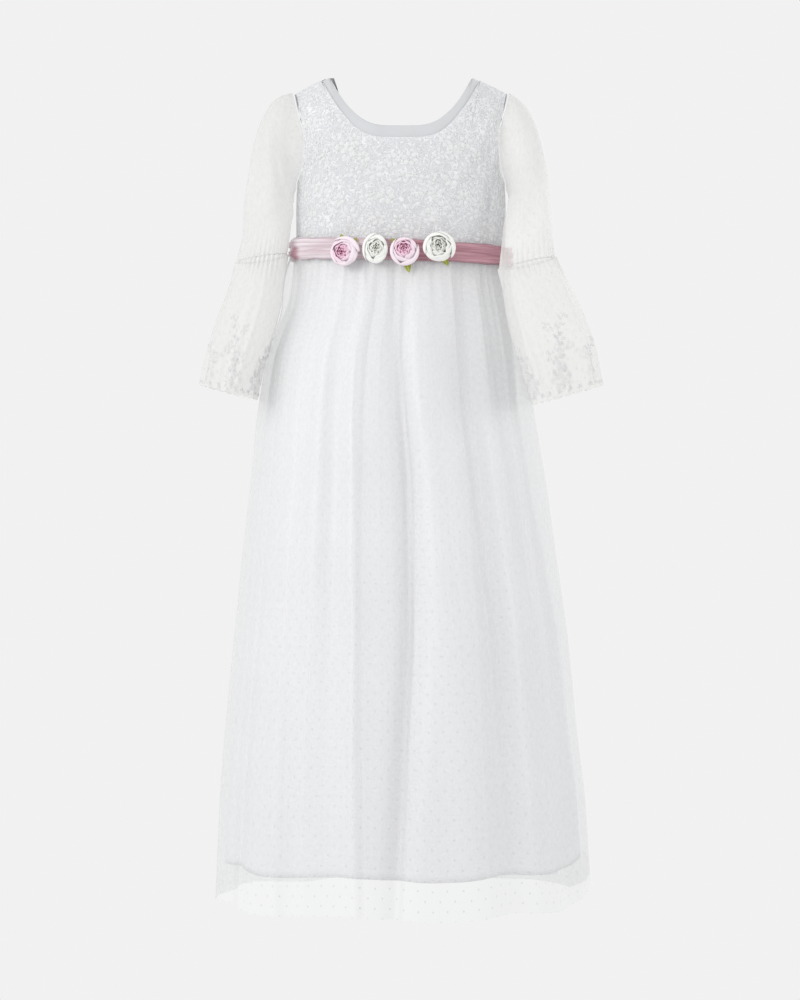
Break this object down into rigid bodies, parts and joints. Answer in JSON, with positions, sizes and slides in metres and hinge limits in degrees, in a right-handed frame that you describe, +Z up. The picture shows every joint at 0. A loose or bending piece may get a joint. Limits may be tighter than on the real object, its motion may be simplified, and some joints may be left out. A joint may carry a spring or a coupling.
{
  "type": "lace dress",
  "caption": "Child's long lace dress with sheer bell sleeves, a tulle overskirt over a satin lining, and a sash with fabric roses, hollow as worn.",
  "frame": {"origin": "midway between the two neck points, level with the shoulder seams, where the wearer's shoulders hold the dress", "axes": "+Z up along the body, -Y out of the front, +X to the viewer's right as seen from the front"},
  "size_m": [0.5366, 0.4091, 1.108],
  "materials": {
    "satin": "white polyester satin, soft sheen",
    "lace": "white corded flower lace",
    "tulle": "sheer white tulle with small woven dots",
    "sash_tulle": "bunched dusty pink tulle",
    "rose_pink": "pink fabric petals",
    "rose_white": "cream white fabric petals",
    "leaf": "yellow green fabric leaf",
    "button": "satin covered button"
  },
  "bodies": {
    "root": {"bodice_front": "satin", "bodice_back_left": "satin", "bodice_back_right": "satin", "lace_front": "lace", "lace_back_left": "lace", "lace_back_right": "lace", "back_placket": "satin", "button_1": "button", "button_2": "button", "button_3": "button", "button_4": "button", "button_5": "button", "sleeve_left": "tulle", "sleeve_right": "tulle", "cuff_left": "tulle", "cuff_right": "tulle", "overskirt_front": "tulle", "overskirt_back": "tulle", "lining_front": "satin", "lining_back": "satin", "sash": "sash_tulle", "rose_pink_1": "rose_pink", "rose_white_1": "rose_white", "rose_pink_2": "rose_pink", "rose_white_2": "rose_white", "leaf_1": "leaf", "leaf_2": "leaf", "leaf_3": "leaf", "leaf_4": "leaf", "leaf_5": "leaf", "leaf_6": "leaf"}
  },
  "joints": []
}
